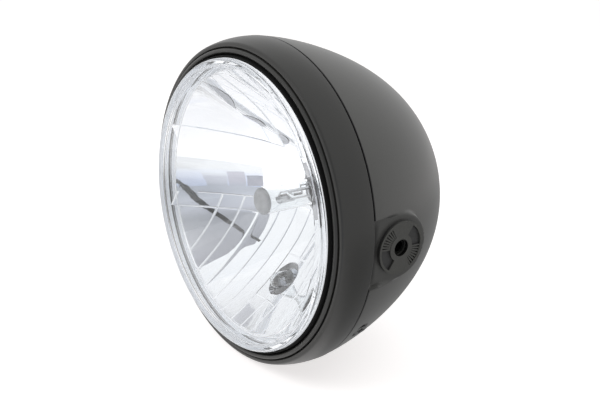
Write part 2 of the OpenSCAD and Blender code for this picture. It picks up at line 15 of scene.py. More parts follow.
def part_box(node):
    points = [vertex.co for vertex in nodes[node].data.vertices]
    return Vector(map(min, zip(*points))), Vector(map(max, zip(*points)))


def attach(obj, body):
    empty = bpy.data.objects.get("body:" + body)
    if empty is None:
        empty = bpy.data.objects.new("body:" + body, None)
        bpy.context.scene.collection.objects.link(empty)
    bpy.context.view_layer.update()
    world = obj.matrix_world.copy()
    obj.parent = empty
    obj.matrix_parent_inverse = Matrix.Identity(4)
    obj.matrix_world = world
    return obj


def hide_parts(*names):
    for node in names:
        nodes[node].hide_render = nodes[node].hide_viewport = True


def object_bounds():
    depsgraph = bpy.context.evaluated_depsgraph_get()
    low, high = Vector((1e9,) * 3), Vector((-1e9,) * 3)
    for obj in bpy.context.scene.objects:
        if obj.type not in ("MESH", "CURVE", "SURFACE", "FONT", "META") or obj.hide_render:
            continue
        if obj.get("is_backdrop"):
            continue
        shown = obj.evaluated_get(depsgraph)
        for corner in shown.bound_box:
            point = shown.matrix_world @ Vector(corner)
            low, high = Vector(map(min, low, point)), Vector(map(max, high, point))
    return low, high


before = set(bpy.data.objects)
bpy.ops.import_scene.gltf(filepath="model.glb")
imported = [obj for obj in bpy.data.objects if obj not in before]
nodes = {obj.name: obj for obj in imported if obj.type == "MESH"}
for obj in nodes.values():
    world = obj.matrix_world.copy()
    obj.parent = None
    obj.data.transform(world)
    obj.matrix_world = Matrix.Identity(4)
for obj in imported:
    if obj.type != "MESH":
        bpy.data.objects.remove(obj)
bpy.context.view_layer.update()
print("construction pieces:", len(nodes))

# %% [markdown]
# The main sizes are read off the construction model, so that a new piece is as large as the
# one it stands for. In every shape, `f` is a distance forward of the seam and `r` a distance
# from the axis, both in millimetres, because that is how such a lamp is drawn. In a finish, `f`
# is the finish that is being made.

# %% Sizes from the frame
MM = 0.001
SEAM_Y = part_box("rim")[1].y


def box_mm(node):
    """Corners of a construction node as (x, z, f) in millimetres, lowest values first."""
    low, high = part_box(node)
    return ((low.x / MM, low.z / MM, (SEAM_Y - high.y) / MM),
            (high.x / MM, high.z / MM, (SEAM_Y - low.y) / MM))


rim_r = box_mm("rim")[1][1]
bead_front = box_mm("rim")[1][2]
bowl_r = box_mm("bucket")[1][1]
bowl_depth = -box_mm("bucket")[0][2]
glass_low, glass_high = box_mm("lens")
flange_r = glass_high[1]
flange_f = glass_low[2]
glass_front = glass_high[2]
disc_low, disc_high = box_mm("side_disc_right")
pad_x = disc_low[0]
mount_f = (disc_low[2] + disc_high[2]) / 2
bulb_low, bulb_high = box_mm("bulb_glass")
bulb_r = bulb_high[0]
bulb_tip = bulb_high[2]
print("rim", round(rim_r, 1), "bowl depth", round(bowl_depth, 1),
      "glass front", round(glass_front, 1))

# %% [markdown]
# ## The camera
# The picture was taken from the lamp's right front and a little above, with the camera tilted
# by a few degrees. The angles, the distance and the focal length come from fitting the rim, the
# glass and the side disc as circles in space to the ellipses that they make in the picture.

# %% Camera
AZIMUTH = math.radians(51.74)
ELEVATION = math.radians(20.57)
ROLL = math.radians(3.72)
DISTANCE = 0.600
FOCAL_PX = 1012.78
IMAGE_W = 600
AIM_RIGHT = 0.019576
AIM_UP = 0.000163
SENSOR_MM = 36.0


def placed(name, data):
    """A new object in the scene that holds a mesh, a lamp or a camera."""
    thing = bpy.data.objects.new(name, data)
    bpy.context.scene.collection.objects.link(thing)
    return thing


def camera_matrix():
    """Columns are the camera's right, up and backward directions, then its place.

    Backward is (sin a cos e, -cos a cos e, sin e); right is level, and both right and up are
    then turned by the roll about the backward direction."""
    back = Vector((math.sin(AZIMUTH) * math.cos(ELEVATION),
                   -math.cos(AZIMUTH) * math.cos(ELEVATION), math.sin(ELEVATION)))
    level = Vector((math.cos(AZIMUTH), math.sin(AZIMUTH), 0))
    turn = Matrix.Rotation(ROLL, 3, back)
    right = turn @ level
    up = turn @ back.cross(level)
    place = Vector((0, SEAM_Y, 0)) + DISTANCE * back + AIM_RIGHT * right + AIM_UP * up
    matrix = Matrix((right, up, back)).transposed().to_4x4()
    matrix.translation = place
    return matrix


camera_data = bpy.data.cameras.new("studio_camera")
camera_data.sensor_width = SENSOR_MM
camera_data.lens = SENSOR_MM * FOCAL_PX / IMAGE_W
camera = placed("studio_camera", camera_data)
camera.matrix_world = camera_matrix()
bpy.context.scene.camera = camera
bpy.context.scene.view_settings.view_transform = "Standard"
print("camera at", [round(c, 3) for c in camera.matrix_world.translation])

# %% [markdown]
# ## Node maths as plain expressions
# A material is a graph of nodes. Long graphs read badly as calls, so one small class wraps a
# node's output and overloads the arithmetic signs. `1 - mask * 0.3` then adds its own Math nodes.

# %% Shader helpers


class Value:
    """A node output that can be used in arithmetic; every sign adds one Math node."""

    def __init__(self, finish, socket):
        self.finish = finish
        self.socket = socket

    def math(self, operation, *others):
        inputs = {i: v for i, v in enumerate((self,) + others)}
        return self.finish.node("ShaderNodeMath", {"operation": operation}, inputs)

    def __add__(self, other):
        return self.math("ADD", other)

    def __mul__(self, other):
        return self.math("MULTIPLY", other)

    def above(self, limit):
        """1 where the value is greater than the limit, else 0."""
        return self.math("GREATER_THAN", limit)

    def __sub__(self, other):
        return self.math("SUBTRACT", other)

    def __rsub__(self, other):
        return self.finish.node("ShaderNodeMath", {"operation": "SUBTRACT"}, {0: other, 1: self})


class Finish:
    """A material being made: node() adds any node; close(), pbsdf() or glow() ends it."""

    def __init__(self, name):
        self.material = bpy.data.materials.new(name)
        self.material.use_nodes = True
        self.tree = self.material.node_tree
        self.tree.nodes.clear()
        self.output = self.tree.nodes.new("ShaderNodeOutputMaterial")

    def put(self, socket, value):
        """A link where value is a Value, else the value itself on the socket."""
        if isinstance(value, Value):
            self.tree.links.new(value.socket, socket)
        else:
            socket.default_value = value

    def node(self, kind, settings=None, inputs=None, out=0):
        """Adds a node: its settings first, then its inputs, and gives one output."""
        node = self.tree.nodes.new(kind)
        for key, setting in (settings or {}).items():
            if key == "stops":
                self.stops(node.color_ramp, setting)
            else:
                setattr(node, key, setting)
        for key, value in (inputs or {}).items():
            self.put(node.inputs[key], value)
        return Value(self, node.outputs[out])

    @staticmethod
    def stops(ramp, stops):
        """Stops of a colour ramp as (place, grey or colour)."""
        while len(ramp.elements) < len(stops):
            ramp.elements.new(0.5)
        for element, (place, tone) in zip(ramp.elements, stops):
            element.position = place
            element.color = (tone, tone, tone, 1) if isinstance(tone, float) else (*tone, 1)

    def place(self):
        """Object coordinates, the same in every view."""
        return self.node("ShaderNodeTexCoord", out="Object")

    def noise(self, scale, detail, vector=None):
        """Soft noise from 0 to 1 with the given number of waves per metre."""
        return self.node("ShaderNodeTexNoise", {},
                         {"Vector": vector or self.place(), "Scale": scale, "Detail": detail,
                          "Roughness": 0.5})

    def ramp(self, value, *stops):
        return self.node("ShaderNodeValToRGB", {"stops": stops}, {0: value})

    def blend(self, mask, dark, light):
        """A colour between two colours."""
        node = self.tree.nodes.new("ShaderNodeMix")
        node.data_type = "RGBA"
        self.put(node.inputs[0], mask)
        self.put(node.inputs[6], (*dark, 1) if isinstance(dark, tuple) else dark)
        self.put(node.inputs[7], (*light, 1) if isinstance(light, tuple) else light)
        return Value(self, node.outputs[2])

    def coordinates(self):
        """x, y and z of Object coordinates as three values."""
        split = self.tree.nodes.new("ShaderNodeSeparateXYZ")
        self.put(split.inputs[0], self.place())
        return [Value(self, output) for output in split.outputs]

    def principled(self, **inputs):
        """A Principled shader; underscores stand for the blanks in a socket's name."""
        values = {key.replace("_", " "): value for key, value in inputs.items()}
        return self.node("ShaderNodeBsdfPrincipled", {}, values)

    def close(self, shader):
        """Links the finished shader to the output and gives the material."""
        self.tree.links.new(shader.socket, self.output.inputs["Surface"])
        return self.material

    def bump(self, height, distance):
        """A Bump node for Normal: height from 0 to 1 stands for that distance in metres."""
        return self.node("ShaderNodeBump", {},
                         {"Height": height, "Distance": distance, "Strength": 1.0})

    def pbsdf(self, **inputs):
        """A material of one Principled shader."""
        return self.close(self.principled(**inputs))

    def glow(self, tone):
        """A material that shines by itself in that tone."""
        return self.close(self.node("ShaderNodeEmission", {}, {"Color": tone, "Strength": 1.0}))


def grey(level):
    return (level, level, level, 1)


# %% [markdown]
# ## Painted sheet steel
# The bowl wears a satin dark grey paint and the rim a flatter, blacker one. Sprayed paint is
# never quite even: orange peel a millimetre or two across bends the reflections, and the gloss
# drifts over centimetres. Both are noise, one on Normal and one on Roughness.

# %% Paints
# Painted shade on the bowl: the gap behind the rim and the corner where the flat meets it.
SEAM_SHADOW = 0.0014
CORNER_SHADOW = 0.0076
CORNER_HALF = 0.0194
CORNER_EDGE = 0.4
PAINTED_GAP_SHADE = (0.002, 0.002, 0.002)
# Painted shade on the side disc: its recesses and the wall of its bolt's hole.
RECESS_SHADE_SHARE = 0.6
BOLT_WALL_R = 0.0049
BOLT_HOLE_SHADE = (0.004, 0.004, 0.004)
RECESS_T = 1.2


def paint(name, level, warm, roughness, peel, gloss, seam=False, floor=0.0):
    """Sprayed paint of one grey with orange peel of `peel` metres and slowly drifting gloss.

    With seam, the sheet's cut edge in the gap behind the rim is painted nearly black, and so is
    the corner where the flat meets the rim: painted shade for the shadow there. With floor, what
    lies nearer the lamp than |x| = floor is darker, as painted shade in the recesses, and the wall
    of the bolt's hole is darker still, as painted shade in the hole."""
    f = Finish(name)
    drift = f.noise(22.0, 2.0)
    fine = f.noise(900.0, 2.0)
    dark, light = ((level * k, level * k, level * k * warm) for k in (0.9, 1.1))
    colour = f.blend(drift, dark, light)
    if seam:
        x, y, z = f.coordinates()
        # Painted shade: the cut edge in the gap behind the rim goes nearly black.
        inside = 1 - y.above(SEAM_Y + SEAM_SHADOW)
        # Painted shade: the corner where the flat meets the rim, fading out behind the seam.
        low = 1 - x.math("ABSOLUTE").above((pad_x + CORNER_EDGE) * MM)
        corner = low * x.math("ABSOLUTE").above((pad_x - CORNER_EDGE) * MM)
        corner = corner * f.ramp(z.math("ABSOLUTE") * (1 / CORNER_HALF), (0.7, 1.0), (1.0, 0.0))
        corner = corner * f.ramp((y - SEAM_Y) * (1 / CORNER_SHADOW), (0.68, 0.95), (1.0, 0.0))
        colour = f.blend(inside.math("MAXIMUM", corner), colour, PAINTED_GAP_SHADE)
    if floor:
        x, y, z = f.coordinates()
        # Painted shade: the disc's recess floors, lying nearer the lamp than its face, are darker.
        recess_shade = 1 - x.math("ABSOLUTE").above(floor)
        colour = f.blend(recess_shade, colour, (level * RECESS_SHADE_SHARE,) * 3)
        # Painted shade: the wall of the bolt's hole goes nearly black.
        y = y - (SEAM_Y - mount_f * MM)
        wall = 1 - (y * y + z * z).above(BOLT_WALL_R ** 2)
        colour = f.blend(wall, colour, BOLT_HOLE_SHADE)
    return f.pbsdf(Base_Color=colour, Roughness=drift * 0.06 + (roughness - 0.03),
                   Specular_IOR_Level=gloss, Normal=f.bump(fine, peel))


bowl_paint = paint("bowl_paint", 0.062, 0.95, 0.36, 0.00002, 0.45, seam=True)
rim_paint = paint("rim_paint", 0.021, 0.93, 0.36, 0.00002, 0.45)
# The disc's recesses and bolt hole carry painted shade.
disc_paint = paint("disc_paint", 0.070, 0.93, 0.5, 0.00008, 0.3,
                   floor=(disc_high[0] - RECESS_T / 2) * MM)
screw_paint = paint("screw_black", 0.020, 1.0, 0.3, 0.00001, 0.5)
print("paints:", bowl_paint.name, rim_paint.name, disc_paint.name, screw_paint.name)

# %% [markdown]
# ## Glass, mirror, metals and rubber
# Pressed glass has faint ripples, which show as wavering edges of whatever is seen through it.
# The reflector is a lacquered layer of aluminium on a moulding, so it mirrors with a slight
# haze and sags by microns. Plated steel has a mottle a few millimetres across.

# %% Other finishes


def glass(name, ripple):
    """Clear glass whose surface wavers by `ripple` metres."""
    f = Finish(name)
    return f.pbsdf(Base_Color=(0.97, 0.985, 0.99, 1), Roughness=0.0, IOR=1.5,
                   Transmission_Weight=1.0, Normal=f.bump(f.noise(120.0, 1.0), ripple))


def mirror(name):
    """Aluminised lacquer: a bright metal with a little haze that drifts."""
    f = Finish(name)
    haze = f.noise(40.0, 2.0)
    return f.pbsdf(Base_Color=f.blend(haze, (0.96, 0.965, 0.975), (0.99, 0.99, 0.99)),
                   Metallic=1.0, Roughness=haze * 0.03 + 0.008,
                   Normal=f.bump(f.noise(90.0, 1.0), 0.000003))


def metal(name, colour, roughness, grain):
    """Bright or plated metal with a mottle in tone and gloss and a fine grain."""
    f = Finish(name)
    mottle = f.noise(450.0, 4.0)
    dark = tuple(0.85 * c for c in colour)
    return f.pbsdf(Base_Color=f.blend(mottle, dark, colour), Metallic=1.0,
                   Roughness=mottle * 0.15 + (roughness - 0.07),
                   Normal=f.bump(f.noise(2200.0, 2.0), grain))


def moulding(name, level, roughness):
    """Black rubber or moulded plastic, faintly dusty, with a fine matt grain."""
    f = Finish(name)
    dust = f.noise(300.0, 4.0)
    return f.pbsdf(Base_Color=f.blend(dust, (level,) * 3, (level * 1.6,) * 3),
                   Roughness=dust * 0.1 + roughness, Specular_IOR_Level=0.15,
                   Normal=f.bump(f.noise(1800.0, 2.0), 0.00003))


def pressed_glass(name, ripple, ground_r, front_f, foot_f):
    """Clear glass whose skirt, where the rubber grips it, is ground white on the outside.

    Ground is r > ground_r with f between foot_f and front_f. There it also shines by itself at
    GROUND_GLOW, as painted light."""
    f = Finish(name)
    x, y, z = f.coordinates()
    skirt = (x * x + z * z).above((ground_r * MM) ** 2) * y.above(SEAM_Y - front_f * MM)
    ground = skirt * (1 - y.above(SEAM_Y - foot_f * MM))
    clear = f.principled(Base_Color=(0.97, 0.985, 1.0, 1), Roughness=0.0, IOR=1.5,
                         Transmission_Weight=1.0, Normal=f.bump(f.noise(120.0, 1.0), ripple))
    lines = f.noise(1.0, 1.0, f.node("ShaderNodeCombineXYZ", {}, {"Y": y * 900.0}))
    shade = f.blend(lines, (0.87, 0.90, 0.94), (0.97, 0.98, 1.0))
    # Painted light: the ground glass glows a little by itself.
    white = f.principled(Base_Color=shade, Roughness=0.6, Emission_Color=shade,
                         Emission_Strength=GROUND_GLOW)
    return f.close(f.node("ShaderNodeMixShader", {}, {0: ground, 1: clear, 2: white}))


GROUND_GLOW = 0.38
GROUND_IN = 3.4
GROUND_TOP = 7.4
GROUND_FOOT = 1.2
clear_glass = pressed_glass("lens_glass", 0.000008, flange_r - GROUND_IN,
                            glass_front - GROUND_TOP, flange_f + GROUND_FOOT)
envelope_glass = glass("envelope_glass", 0.00001)
mirror_coat = mirror("mirror_coat")
dull_mirror = metal("dull_mirror", (0.62, 0.63, 0.66), 0.35, 0.00001)
zinc = metal("zinc_plate", (0.62, 0.63, 0.60), 0.35, 0.00001)
dark_plate_and_gap_shade = metal("dark_plate_and_gap_shade_finish", (0.030, 0.031, 0.030), 0.45, 0.00001)
spring_steel = metal("spring_steel", (0.60, 0.60, 0.61), 0.25, 0.00001)
pressed_metal = metal("pressed_metal", (0.70, 0.70, 0.71), 0.3, 0.00001)
tin = metal("tinned_brass", (0.75, 0.72, 0.62), 0.3, 0.00001)
tungsten = metal("tungsten", (0.35, 0.34, 0.34), 0.4, 0.00001)
rubber = moulding("black_rubber", 0.004, 0.7)
holder_grey = moulding("holder_plastic", 0.50, 0.4)
cap_coat = moulding("bulb_cap_coat", 0.50, 0.45)
print("finishes made")

# %% [markdown]
# ## Surfaces from two parameters
# Nearly everything here is turned about the lamp's axis. A profile is a list of (r, f) points,
# `rounded` turns its corners into arcs, and `turned` carries it round the axis on a grid of
# angles. The grid is worked out as whole arrays and handed to the mesh in one call.

# %% Mesh helpers
WELD = 0.000002
SLIVER = 0.000001


def to_world(x, z, f):
    """(x, z, f) in millimetres to a list of points in metres: (x, seam - f, z)."""
    x, z, f = np.broadcast_arrays(x, z, f)
    return np.stack([x * MM, SEAM_Y - f * MM, z * MM], axis=-1).reshape(-1, 3)


def grid_faces(rows, columns, wrap_rows=False, wrap_columns=False):
    """Quads of a rows by columns grid of points; wrapping joins the last line to the first."""
    i = np.arange(rows if wrap_rows else rows - 1)[:, None]
    j = np.arange(columns if wrap_columns else columns - 1)[None, :]
    i2, j2 = (i + 1) % rows, (j + 1) % columns
    quads = np.stack([i * columns + j, i * columns + j2, i2 * columns + j2, i2 * columns + j], -1)
    return quads.reshape(-1, 4)


def grid_mesh(name, points, quads, slivers_out=True):
    """A mesh of points and quads with its seams and poles welded and its faces turned out."""
    mesh = bpy.data.meshes.new(name)
    mesh.from_pydata(points.tolist(), [], quads.tolist())
    bm = bmesh.new()
    bm.from_mesh(mesh)
    bmesh.ops.remove_doubles(bm, verts=bm.verts, dist=WELD)
    if slivers_out:
        bmesh.ops.dissolve_degenerate(bm, edges=bm.edges, dist=SLIVER)
    bmesh.ops.recalc_face_normals(bm, faces=bm.faces)
    bm.to_mesh(mesh)
    bm.free()
    return mesh


def add_piece(name, points, quads, material, slot, replaces=(), sharp=30.0):
    """Makes a piece of the lamp, shaded smooth but for edges sharper than `sharp` degrees."""
    mesh = grid_mesh(name, points, quads)
    mesh.polygons.foreach_set("use_smooth", [True] * len(mesh.polygons))
    mesh.set_sharp_from_angle(angle=math.radians(sharp))
    mesh.materials.append(material)
    piece = placed(name, mesh)
    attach(piece, "root")
    if replaces:
        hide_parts(*replaces)
    print(name, "faces:", len(mesh.polygons))
    return piece


def rounded(points, radii, steps=5):
    """A polyline whose corners are arcs of the given radii, as tangent as a fillet is.

    At a corner with half angle h, the arc starts r / tan(h) away along both sides."""
    out = [np.array(points[0], float)]
    for k in range(1, len(points) - 1):
        p, a, b = (np.array(points[j], float) for j in (k, k - 1, k + 1))
        ua, ub = (a - p) / np.linalg.norm(a - p), (b - p) / np.linalg.norm(b - p)
        half = math.acos(max(-1.0, min(1.0, float(ua @ ub)))) / 2
        if radii[k] <= 0 or half > 1.55:
            out.append(p)
            continue
        reach = radii[k] / math.tan(half)
        centre = p + (ua + ub) / np.linalg.norm(ua + ub) * radii[k] / math.sin(half)
        start, end = p + ua * reach - centre, p + ub * reach - centre
        sweep = math.acos(max(-1.0, min(1.0, float(start @ end) / radii[k] ** 2)))
        turn = np.sign(start[0] * end[1] - start[1] * end[0])
        for t in np.linspace(0, sweep * turn, steps + 1):
            out.append(centre + [start[0] * math.cos(t) - start[1] * math.sin(t),
                                 start[0] * math.sin(t) + start[1] * math.cos(t)])
    out.append(np.array(points[-1], float))
    return np.array(out)


def turned(profile, turns=256):
    """Points and quads of a closed profile of (r, f) carried round the lamp's axis."""
    angle = np.linspace(0, 2 * math.pi, turns, endpoint=False)[None, :]
    r, f = profile[:, 0, None], profile[:, 1, None]
    points = to_world(r * np.cos(angle), r * np.sin(angle), f + 0 * angle)
    return points, grid_faces(len(profile), turns, wrap_rows=True, wrap_columns=True)


def arc_points(centre, radius, start, end, steps):
    """Points of an arc in a profile, angles in degrees."""
    t = np.radians(np.linspace(start, end, steps + 1))
    return np.stack([centre[0] + radius * np.cos(t), centre[1] + radius * np.sin(t)], -1)


# %% [markdown]
# ## The rim
# Spun from sheet: a broad band that bows in towards the front, a small shoulder, a shallow
# valley, and a bead rolled round the opening. At the back the sheet is turned in. One closed
# profile gives all of it, with fine arcs where the construction model has a few flats.

# %% Rim
RIM_WALL = 1.2
BAND_R = 44.0
SIDE_F = 4.0
SHOULDER_R = 2.2
BEAD_R = 1.5
BEAD_GAP = 2.1
GLASS_LAP = 3.1
SHOULDER_F = 19.8
VALLEY_DEPTH = 1.1
RETURN_W = 6.5

glass_r = flange_r - GLASS_LAP
bead_c = (glass_r + BEAD_GAP + BEAD_R, bead_front - BEAD_R)


def rim_profile():
    """Outer skin from the seam forward, the bead as a circle, and the inner skin back again."""
    shoulder_f = SHOULDER_F - SHOULDER_R
    swing = math.degrees(math.asin((shoulder_f - SIDE_F) / (BAND_R - SHOULDER_R)))
    shoulder_x = rim_r - BAND_R + (BAND_R - SHOULDER_R) * math.cos(math.radians(swing))
    valley = ((shoulder_x + bead_c[0]) / 2, SHOULDER_F - VALLEY_DEPTH)
    outer = np.concatenate([
        arc_points((rim_r - 0.5, 0.5), 0.5, -90, 0, 4),
        arc_points((rim_r - BAND_R, SIDE_F), BAND_R, 0, swing, 16),
        arc_points((shoulder_x, shoulder_f), SHOULDER_R, swing + 8, 104, 10),
        [valley],
        arc_points(bead_c, BEAD_R, -5, 270, 26)])
    inner = np.concatenate([
        [(valley[0], valley[1] - RIM_WALL)],
        arc_points((shoulder_x, shoulder_f), SHOULDER_R - RIM_WALL, 100, swing + 10, 4),
        arc_points((rim_r - BAND_R, SIDE_F), BAND_R - RIM_WALL, swing, 0, 6),
        [(rim_r - RIM_WALL, RIM_WALL), (rim_r - RETURN_W, RIM_WALL), (rim_r - RETURN_W, 0)]])
    return np.concatenate([outer, inner])


add_piece("rim_shell", *turned(rim_profile(), 320), rim_paint, "rim_paint", ["rim"])

# %% [markdown]
# ## The glass
# Pressed in one: a flange that the rubber holds, a short upright skirt, a rounded edge, and a
# gently bowed face. Moulded steps round the face make the bright and dark rings in the picture,
# because each one bends the view a little. The inner face has its own ring.

# %% Glass
EDGE_UP = 1.1
GLASS_T = 3.5
EDGE_R = 1.7
BAND_W = 3.4
BOW_H = 6.7 - EDGE_UP
GROOVE = 0.5
FLANGE_T = 3.5
RING_IN = 9.4
RING_STEP = 0.3
RING_FALL = 0.9


def bowed(reach, height, front, start, end, steps):
    """Points of a bow that peaks on the axis at f = front, from r = start to r = end."""
    big = (reach ** 2 + height ** 2) / (2 * height)
    r = np.linspace(start, end, steps + 1)
    return np.stack([r, front - big + np.sqrt(big ** 2 - r ** 2)], -1)


def lens_profile():
    """The closed section of the glass, from the flange's back corner outwards and forward."""
    edge_f = glass_front - BOW_H
    face_r = glass_r - BAND_W
    inner_r = glass_r - GLASS_T
    ring_r = glass_r - RING_IN
    front = bowed(face_r - GROOVE, BOW_H, glass_front, face_r - GROOVE, 0, 40)
    back = bowed(inner_r - EDGE_R, BOW_H, glass_front - GLASS_T, 0, ring_r, 40)
    ring_f = back[-1][1] - RING_STEP
    return np.concatenate([
        rounded([(inner_r, flange_f), (flange_r, flange_f), (flange_r, flange_f + FLANGE_T),
                 (glass_r, flange_f + FLANGE_T), (glass_r, edge_f - EDGE_R)],
                [0, 0.5, 0.5, 0.4, 0]),
        arc_points((glass_r - EDGE_R, edge_f - EDGE_R), EDGE_R, 10, 90, 8),
        rounded([(face_r + GROOVE, edge_f), (face_r, edge_f - GROOVE), tuple(front[0])],
                [0, 0.15, 0]),
        front[1:],
        back,
        [(ring_r + RING_STEP, ring_f), (inner_r - EDGE_R, ring_f - RING_FALL),
         (inner_r, ring_f - RING_FALL - EDGE_R)]])


add_piece("lens_shell", *turned(lens_profile()), clear_glass, "lens_glass", ["lens"], sharp=25.0)

# %% [markdown]
# ## The rubber round the glass
# One moulded ring: a channel that takes the flange, and a lip that hugs the skirt nearly up to
# its rounded edge. Seen from the side, the lip is the black line round the glass.

# %% Rubber ring
LIP_DROP = 8.1
FIT = 0.1
LIP_T = 1.0
LIP_FOOT = 1.6
CHANNEL_T = 1.0
CHANNEL_F = flange_f + FLANGE_T
LIP_FRONT = glass_front - LIP_DROP
gasket_low, gasket_high = box_mm("lens_gasket")


def gasket_profile():
    """The closed section of the ring: lip, foot of the lip, channel wall and its inside."""
    inner, outer = glass_r + FIT, gasket_high[1]
    return rounded([
        (inner, CHANNEL_F + FIT), (inner, LIP_FRONT), (inner + LIP_T, LIP_FRONT),
        (inner + LIP_FOOT, CHANNEL_F + CHANNEL_T), (outer, CHANNEL_F + CHANNEL_T),
        (outer, gasket_low[2]), (flange_r + FIT, gasket_low[2]),
        (flange_r + FIT, CHANNEL_F + FIT), (inner, CHANNEL_F + FIT)],
        [0, 0.2, 0.4, 0.3, 0.4, 0.2, 0.1, 0.1, 0])[:-1]


add_piece("gasket_skin", *turned(gasket_profile()), rubber, "black_rubber", ["lens_gasket"])

# %% [markdown]
# ## The reflector's facets
# The mirror is a paraboloid: f = -vertex + r * r / (4 * focal). It is divided into facets: upright
# strips below, a row of short ones at each side of the bulb, a plain field over that row, and
# a few tall ones above. Each facet is a grid of its own whose lines follow the facet's edges,
# because a square grid would turn every slanting edge into a saw. A fine ridge runs along most
# of the edges and catches the light as a thin line. Strip k reaches from x = k * STRIP to the
# next. The tables name the strips' edges with a broad ridge and those with none.

# %% Reflector surface
FOCAL = 26.0
SKIN = 0.15
RIDGE_H = 0.35
RIDGE_W = 0.45
WIDE = 2.2
STRIP = 10.0
STRIPS = 8
BROAD_EDGES = {-5: "r", -4: "l"}
PLAIN_EDGES = {-8: "r", -7: "l", 6: "r", 7: "l"}
ROW_H = 14.0
HOLE_R = 19.0
LOWER_Z = -17.0
LINE_Z = -26.0
UPPER_Z = 20.0
UPPER_RISE = 0.18
CORE_X = 30.0
POSITION_Z = -0.69 * 79.6
POSITION_R = 8.5
PLATE = 10.0
PLATE_H = 11.0
PLATE_FOOT = 2.5
mouth_f = flange_f - 0.1
mouth_r = glass_r - 6.3
VERTEX = mouth_r ** 2 / (4 * FOCAL) - mouth_f
skin_r = math.sqrt(4 * FOCAL * (VERTEX + mouth_f - SKIN))


def dish(x, z):
    """The smooth paraboloid, a hair in front of the construction model's surface."""
    return -VERTEX + SKIN + (x ** 2 + z ** 2) / (4 * FOCAL)


def ridge(distance):
    """Height of the ridge at a distance from a facet's edge: RIDGE_H * (1 - (d / w)^2)^2."""
    inside = np.clip(1 - (distance / RIDGE_W) ** 2, 0, 1)
    return RIDGE_H * inside ** 2


def edge_spaced(count):
    """Parameters from 0 to 1, close together at both ends, where the ridges are."""
    ends = np.array([0, 0.012, 0.024, 0.036, 0.05])
    return np.concatenate([ends, np.linspace(0.07, 0.93, count), 1 - ends[::-1]])


def facet(left, right, low, high, count=9, ridges="lrbt", wide=""):
    """A facet between two sides and two heights.

    The sides are x as functions of t, from 0 at the bottom to 1 at the top. The heights are z
    as functions of x. So x = left(t) + (right(t) - left(t)) * s, and z = low(x) +
    (high(x) - low(x)) * t. Ridges run along the edges named by their first letters: left,
    right, bottom and top; those named in wide are broader."""
    s = edge_spaced(count)[:, None]
    t = edge_spaced(24)[None, :]
    x0, x1 = left(t), right(t)
    x = x0 + (x1 - x0) * s
    z_low, z_high = low(x), np.maximum(high(x), low(x))
    z = z_low + (z_high - z_low) * t
    ways = {"l": x - x0, "r": x1 - x, "b": z - z_low, "t": z_high - z}
    rise = sum((ridge(ways[k] / (WIDE if k in wide else 1)) for k in ridges), 0 * x)
    return to_world(x, z, dish(x, z) + np.minimum(rise, RIDGE_H)), grid_faces(s.size, t.size)


def level(value):
    """A constant as a function of whatever it is asked for."""
    return lambda v: np.full(np.shape(v), float(value))


def mouth(sign):
    """Height of the mouth's circle at x, above or below the axis."""
    return lambda x: sign * np.sqrt(np.maximum(skin_r ** 2 - x ** 2, 0))


def upper_edge(x):
    """Lower edge of the upper facets: level over the plate, rising gently outside it."""
    return UPPER_Z + UPPER_RISE * np.maximum(np.abs(x) - CORE_X, 0)


# %% [markdown]
# The plates round the two holes are plain. Each is a ring whose inner edge is the hole and
# whose outer edge is a rectangle: at each angle, the reach is the shorter of the ways to the
# rectangle's sides.

# %% Plates round the holes


def plate(centre, radius, corner_low, corner_high, count=8):
    """The plain area between a round hole and the rectangle round it."""
    angle = np.linspace(0, 2 * math.pi, 160, endpoint=False)[:, None] + 0.0001
    c, s = np.cos(angle), np.sin(angle)
    reach_x = np.where(c > 0, corner_high[0] - centre[0], centre[0] - corner_low[0]) / np.abs(c)
    reach_z = np.where(s > 0, corner_high[1] - centre[1], centre[1] - corner_low[1]) / np.abs(s)
    outer = np.maximum(np.minimum(reach_x, reach_z), radius)
    reach = radius + (outer - radius) * np.linspace(0, 1, count)[None, :]
    x, z = centre[0] + reach * c, centre[1] + reach * s
    return to_world(x, z, dish(x, z)), grid_faces(160, count, wrap_rows=True)


def lower_facets():
    """Upright strips from the mouth up to the row, with a level line across the outer ones."""
    parts = []
    limit = math.sqrt(skin_r ** 2 - LOWER_Z ** 2)
    for k in range(-STRIPS, STRIPS):
        x0 = k * STRIP
        middle = abs(x0 + STRIP / 2)
        a, b = level(max(x0, -limit)), level(min(x0 + STRIP, limit))
        wide = BROAD_EDGES.get(k, "")
        edges = "".join(e for e in "lrbt" if e not in PLAIN_EDGES.get(k, ""))
        if middle < PLATE:
            parts.append(facet(a, b, mouth(-1), level(POSITION_Z - PLATE_H)))
            parts.append(facet(a, b, level(POSITION_Z + PLATE_H), level(LOWER_Z - PLATE_FOOT)))
        elif middle > 4 * STRIP:
            parts.append(facet(a, b, mouth(-1), level(LINE_Z), ridges=edges, wide=wide))
            if middle > (STRIPS - 1) * STRIP:
                edges = edges.replace("t", "")
            parts.append(facet(a, b, level(LINE_Z), level(LOWER_Z), ridges=edges))
        else:
            parts.append(facet(a, b, mouth(-1), level(LOWER_Z), wide=wide))
    return parts


